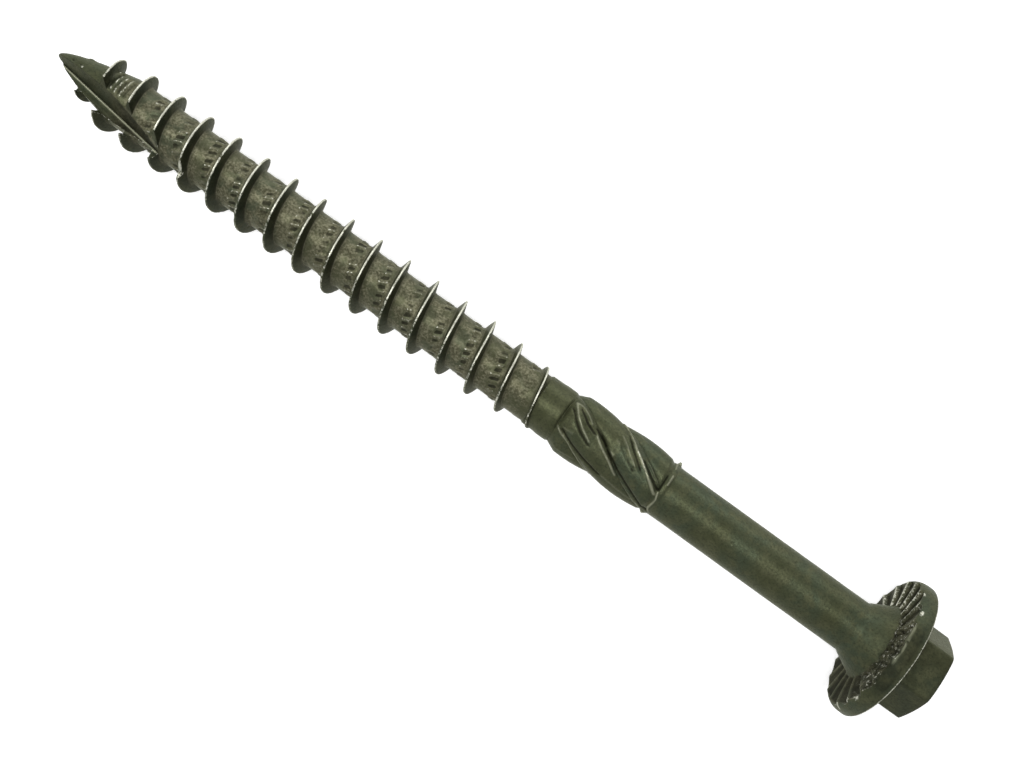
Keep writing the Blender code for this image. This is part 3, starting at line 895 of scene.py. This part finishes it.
    def store(self):
        for name in ("wear_and_highlight", "shade_and_grime", "root", "relief", "scuff", "painted_highlight"):
            layer = self.mesh.attributes.new(name, "FLOAT", "POINT")
            layer.data.foreach_set("value", getattr(self, name).astype(np.float32))


def paint_wear_and_light(screw):
    surface = Surface(screw.data)
    surface.paint_thread()
    surface.paint_slot()
    surface.paint_cutter()
    surface.paint_teeth()
    surface.paint_head()
    surface.store()


# Laying it down

def lying_matrix():
    """The tip towards world -X, on the rim of the flange and a crest of the thread."""
    crest_z = THREAD_PHASE + PITCH * 1.5
    tilt = math.asin((FLANGE_RADIUS - THREAD_RADIUS) / (RIM_WIDEST_AT - crest_z))
    upright_to_lying = Matrix(((0, 0, 1, 0), (0, -1, 0, 0), (1, 0, 0, 0), (0, 0, 0, 1)))
    length = HEAD_END * math.cos(tilt) + HEX_END_RADIUS * math.sin(tilt)
    lift = FLANGE_RADIUS * math.cos(tilt) - RIM_WIDEST_AT * math.sin(tilt)
    place = Matrix.Translation(Vector((-length / 2, 0.0, lift)) * 0.001)
    return place @ Matrix.Rotation(-tilt, 4, "Y") @ upright_to_lying @ Matrix.Scale(0.001, 4)


# Materials

def colour(red, green, blue):
    return (red, green, blue, 1.0)


WHITE = colour(1, 1, 1)
FLOOR_COLOUR = colour(0.9, 0.9, 0.9)
GREEN = colour(0.050, 0.0545, 0.027)
BLUISH_GREEN = colour(0.0425, 0.0545, 0.033)
PALE_GREEN = colour(0.066, 0.070, 0.037)
DARK_SPECKS = colour(0.020, 0.023, 0.013)
ROOT_DARK = colour(0.055, 0.053, 0.030)
ROOT_PALE = colour(0.165, 0.160, 0.105)
# The ticks' paler tops are a painted highlight
TICK_TOPS = colour(0.155, 0.152, 0.105)
# Painted shade and dirt
DARK_SHADE_AND_DIRT = colour(0.009, 0.009, 0.005)
# Painted highlight
HIGHLIGHT_PALE = colour(0.27, 0.275, 0.195)
# Bare metal, also used for painted glints and highlights
WORN_AND_GLINT_DULL = colour(0.34, 0.34, 0.26)
WORN_AND_GLINT_BRIGHT = colour(0.80, 0.80, 0.70)
GLOSS_TINT = colour(0.53, 0.55, 0.40)


class Graph:
    """Short calls for building the nodes of a material or a world."""

    def __init__(self, owner):
        owner.use_nodes = True
        self.tree = owner.node_tree
        self.tree.nodes.clear()

    def connect(self, socket, value):
        if isinstance(value, bpy.types.NodeSocket):
            self.tree.links.new(value, socket)
        else:
            socket.default_value = value

    def node(self, kind, settings=None, **inputs):
        """Inputs are named as in Blender, with _ for a space, or _0, _1, ... by their place."""
        item = self.tree.nodes.new(kind)
        for key, value in (settings or {}).items():
            setattr(item, key, value)
        for key, value in inputs.items():
            name = int(key[1:]) if key[1:].isdigit() else key.replace("_", " ")
            self.connect(item.inputs[name], value)
        return item

    def attribute(self, name):
        return self.node("ShaderNodeAttribute", {"attribute_name": name}).outputs["Fac"]

    def noise(self, vector, scale, detail, rough):
        inputs = {"Vector": vector, "Scale": scale, "Detail": detail, "Roughness": rough}
        return self.node("ShaderNodeTexNoise", **inputs).outputs["Fac"]

    def ramp(self, value, start, end, low=0.0, high=1.0):
        inputs = {"Value": value, "From_Min": start, "From_Max": end, "To_Min": low, "To_Max": high}
        settings = {"interpolation_type": "SMOOTHSTEP"}
        return self.node("ShaderNodeMapRange", settings, **inputs).outputs["Result"]

    def maths(self, operation, a, b):
        return self.node("ShaderNodeMath", {"operation": operation}, _0=a, _1=b).outputs[0]

    def add(self, a, b):
        return self.maths("ADD", a, b)

    def times(self, a, b):
        return self.maths("MULTIPLY", a, b)

    def most(self, a, b):
        return self.maths("MAXIMUM", a, b)

    def mix(self, share, a, b):
        item = self.node("ShaderNodeMix", {"data_type": "RGBA"}, _0=share, _6=a, _7=b)
        return item.outputs[2]

    def background_rays(self):
        """1 where the background is seen, directly or in a reflection, and 0 where it lights."""
        path = self.node("ShaderNodeLightPath").outputs
        seen = self.most(path["Is Camera Ray"], path["Is Glossy Ray"])
        return self.most(seen, path["Is Transmission Ray"])

    def either(self, share, a, b):
        return self.node("ShaderNodeMixShader", _0=share, _1=a.outputs[0], _2=b.outputs[0])


class CoatedSteel:
    """A mottled olive coating on steel, with painted shade in its hollows, painted highlights and
    glints, and worn bare on its edges.
    """

    def __init__(self):
        self.material = bpy.data.materials.new("green_coated_steel_detailed")
        self.g = g = Graph(self.material)
        place = g.node("ShaderNodeTexCoord").outputs["Object"]
        scaled = g.node("ShaderNodeVectorMath", {"operation": "SCALE"}, _0=place, Scale=1000.0)
        self.mm = scaled.outputs[0]
        self.broad = g.noise(self.mm, 0.22, 2.0, 0.55)
        self.patch = g.noise(self.mm, 0.9, 4.0, 0.6)
        self.speck = g.noise(self.mm, 5.0, 4.0, 0.65)
        self.fine = g.noise(self.mm, 14.0, 3.0, 0.6)
        self.root = g.attribute("root")
        self.relief = g.attribute("relief")
        self.scuff = g.attribute("scuff")

    def coating(self):
        """Two greens, mottled, browner and paler in the thread's root, and a painted highlight on the
        ticks' raised tops.
        """
        g = self.g
        tint = g.mix(g.ramp(self.broad, 0.35, 0.65), GREEN, BLUISH_GREEN)
        tint = g.mix(g.ramp(self.patch, 0.4, 0.7), tint, PALE_GREEN)
        tint = g.mix(g.ramp(self.speck, 0.42, 0.75, 0.0, 0.7), tint, DARK_SPECKS)
        brown = g.mix(g.ramp(self.speck, 0.38, 0.68), ROOT_DARK, ROOT_PALE)
        tint = g.mix(g.times(self.root, g.ramp(self.patch, 0.35, 0.6, 0.3, 1.0)), tint, brown)
        # Painted highlight: the ticks' raised tops are paler
        raised = g.times(g.ramp(self.relief, 0.25, 0.9), self.root)
        return g.mix(g.times(raised, 0.5), tint, TICK_TOPS)

    def shade_and_dirt(self):
        """How dark it is painted: painted shade and grime from the surface's layer, painted shadow
        beside the ticks, and stains on the scuffed teeth.
        """
        g = self.g
        # Painted shadow beside the ticks
        sunk = g.times(g.ramp(self.relief, -0.2, -0.55, 0.0, 0.85), self.root)
        stain = g.times(self.scuff, g.ramp(g.noise(self.mm, 1.9, 3.0, 0.6), 0.5, 0.4))
        shade_and_grime = g.most(g.most(g.attribute("shade_and_grime"), sunk), stain)
        return g.times(shade_and_grime, g.ramp(self.patch, 0.25, 0.7, 1.0, 0.7))

    def rubbed(self):
        """Where the metal is bare, on worn edges and in scrapes on the scuffed teeth, and where glints
        and highlights are painted.
        """
        g = self.g
        worn = g.add(g.attribute("wear_and_highlight"), g.ramp(self.speck, 0.3, 0.7, -0.45, 0.25))
        scraped = g.times(self.scuff, g.ramp(g.noise(self.mm, 2.6, 4.0, 0.7), 0.56, 0.66))
        return g.most(g.ramp(worn, 0.3, 0.75), scraped)

    def tint(self, shade_and_dirt):
        g = self.g
        # Painted shade and dirt darken the coating
        tint = g.mix(g.ramp(shade_and_dirt, 0.1, 0.9, 0.0, 0.93), self.coating(), DARK_SHADE_AND_DIRT)
        # Painted highlights make it paler
        painted_highlight = g.times(g.attribute("painted_highlight"), g.ramp(self.speck, 0.25, 0.55, 0.7, 1.0))
        tint = g.mix(painted_highlight, tint, HIGHLIGHT_PALE)
        # Bare metal, also standing for painted glints and highlights
        bare_and_glint = g.mix(g.ramp(self.fine, 0.35, 0.65), WORN_AND_GLINT_DULL, WORN_AND_GLINT_BRIGHT)
        return g.mix(g.times(self.rubbed(), 0.9), tint, bare_and_glint)

    def roughness(self, shade_and_dirt):
        g = self.g
        rough = g.add(g.ramp(self.patch, 0.3, 0.7, 0.32, 0.4), g.ramp(self.speck, 0.4, 0.8, 0.0, 0.12))
        return g.add(rough, g.times(shade_and_dirt, 0.3))

    def bump(self):
        """Fine unevenness of the coating, and a few small pits."""
        g = self.g
        pits = g.node("ShaderNodeTexVoronoi", {"feature": "F1"}, Vector=self.mm, Scale=0.75).outputs
        cell = g.node("ShaderNodeSeparateColor", _0=pits["Color"]).outputs[0]
        pit = g.times(g.ramp(pits["Distance"], 0.2, 0.08), g.ramp(cell, 0.72, 0.78))
        height = g.add(g.times(self.speck, 0.6), g.times(self.fine, 0.3))
        height = g.add(height, g.times(self.patch, 0.6))
        height = g.maths("SUBTRACT", height, g.times(pit, 0.9))
        bump = g.node("ShaderNodeBump", Height=height, Strength=0.7, Distance=0.00005)
        return bump.outputs["Normal"]

    def finished(self):
        shade_and_dirt = self.shade_and_dirt()
        shader = self.g.node(
            "ShaderNodeBsdfPrincipled",
            Base_Color=self.tint(shade_and_dirt),
            Roughness=self.roughness(shade_and_dirt),
            Metallic=0.4,
            Specular_IOR_Level=0.22,
            Specular_Tint=GLOSS_TINT,
            Normal=self.bump(),
        )
        self.g.node("ShaderNodeOutputMaterial", Surface=shader.outputs[0])
        return self.material


def floor_material():
    """A matt floor that is seen whiter than it lights, and keeps the screw's shadow."""
    material = bpy.data.materials.new("plain_floor")
    g = Graph(material)
    matt = g.node("ShaderNodeBsdfDiffuse", Color=FLOOR_COLOUR)
    glow = g.node("ShaderNodeEmission", Color=WHITE, Strength=FLOOR_GLOW)
    both = g.node("ShaderNodeAddShader", _0=matt.outputs[0], _1=glow.outputs[0])
    chosen = g.either(g.background_rays(), matt, both)
    g.node("ShaderNodeOutputMaterial", Surface=chosen.outputs[0])
    return material


def studio_world():
    """A faint even light on the object, in front of a white background."""
    world = bpy.data.worlds.new("studio")
    g = Graph(world)
    light = g.node("ShaderNodeBackground", Color=WHITE, Strength=WORLD_LIGHT)
    white = g.node("ShaderNodeBackground", Color=WHITE, Strength=1.0)
    chosen = g.either(g.background_rays(), light, white)
    g.node("ShaderNodeOutputWorld", Surface=chosen.outputs[0])
    return world


# Floor, light and camera

def plain_floor():
    mesh = bpy.data.meshes.new("floor")
    corners = [(-1, -1), (1, -1), (1, 1), (-1, 1)]
    points = [(FLOOR_HALF * x, FLOOR_HALF * y, 0) for x, y in corners]
    mesh.from_pydata(points, [], [(0, 1, 2, 3)])
    mesh.materials.append(floor_material())
    floor = bpy.data.objects.new("floor", mesh)
    floor.location.z = -FLOOR_DROP
    bpy.context.scene.collection.objects.link(floor)
    return floor


def area_light(name, place, size, power, aim):
    lamp = bpy.data.lights.new(name, "AREA")
    lamp.shape = "RECTANGLE"
    lamp.size, lamp.size_y = size
    lamp.energy = power
    item = bpy.data.objects.new(name, lamp)
    item.location = place
    item.rotation_euler = (Vector(aim) - Vector(place)).to_track_quat("-Z", "Y").to_euler()
    bpy.context.scene.collection.objects.link(item)


def photo_camera(to_world):
    """The camera of the photograph, over the lying screw and rolled so that the tip is up left."""
    lens = bpy.data.cameras.new("camera")
    lens.lens = FOCAL_LENGTH / PHOTO_WIDTH * SENSOR_WIDTH
    lens.sensor_width = SENSOR_WIDTH
    lens.clip_start = NEAREST_SEEN
    lens.shift_x, lens.shift_y = (shift / PHOTO_WIDTH for shift in CAMERA_SHIFT)
    roll_cos, roll_sin = math.cos(CAMERA_ROLL), math.sin(CAMERA_ROLL)
    right, up, back = (0, -roll_sin, roll_cos), (0, -roll_cos, -roll_sin), (1, 0, 0)
    facing = Matrix((right, up, back)).transposed().to_4x4()
    over = Matrix.Translation(Vector((CAMERA_HEIGHT, *CAMERA_OVER)))
    placed = to_world @ over @ facing
    camera = bpy.data.objects.new("camera", lens)
    camera.location = placed.translation
    camera.rotation_euler = placed.to_euler()
    bpy.context.scene.collection.objects.link(camera)
    return camera


# The screw and its stage

to_world = lying_matrix()
screw = one_solid()
paint_wear_and_light(screw)
screw.data.transform(to_world)
screw.data.materials.clear()
screw.data.materials.append(CoatedSteel().finished())
screw.data.shade_smooth()
screw.data.set_sharp_from_angle(angle=SHARP_ANGLE)
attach(screw, "root")
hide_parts("construction_screw")

floor = plain_floor()
for lamp in LAMPS:
    area_light(*lamp)
bpy.context.scene.world = studio_world()
bpy.context.scene.camera = photo_camera(to_world)
bpy.context.scene.view_settings.view_transform = "Standard"
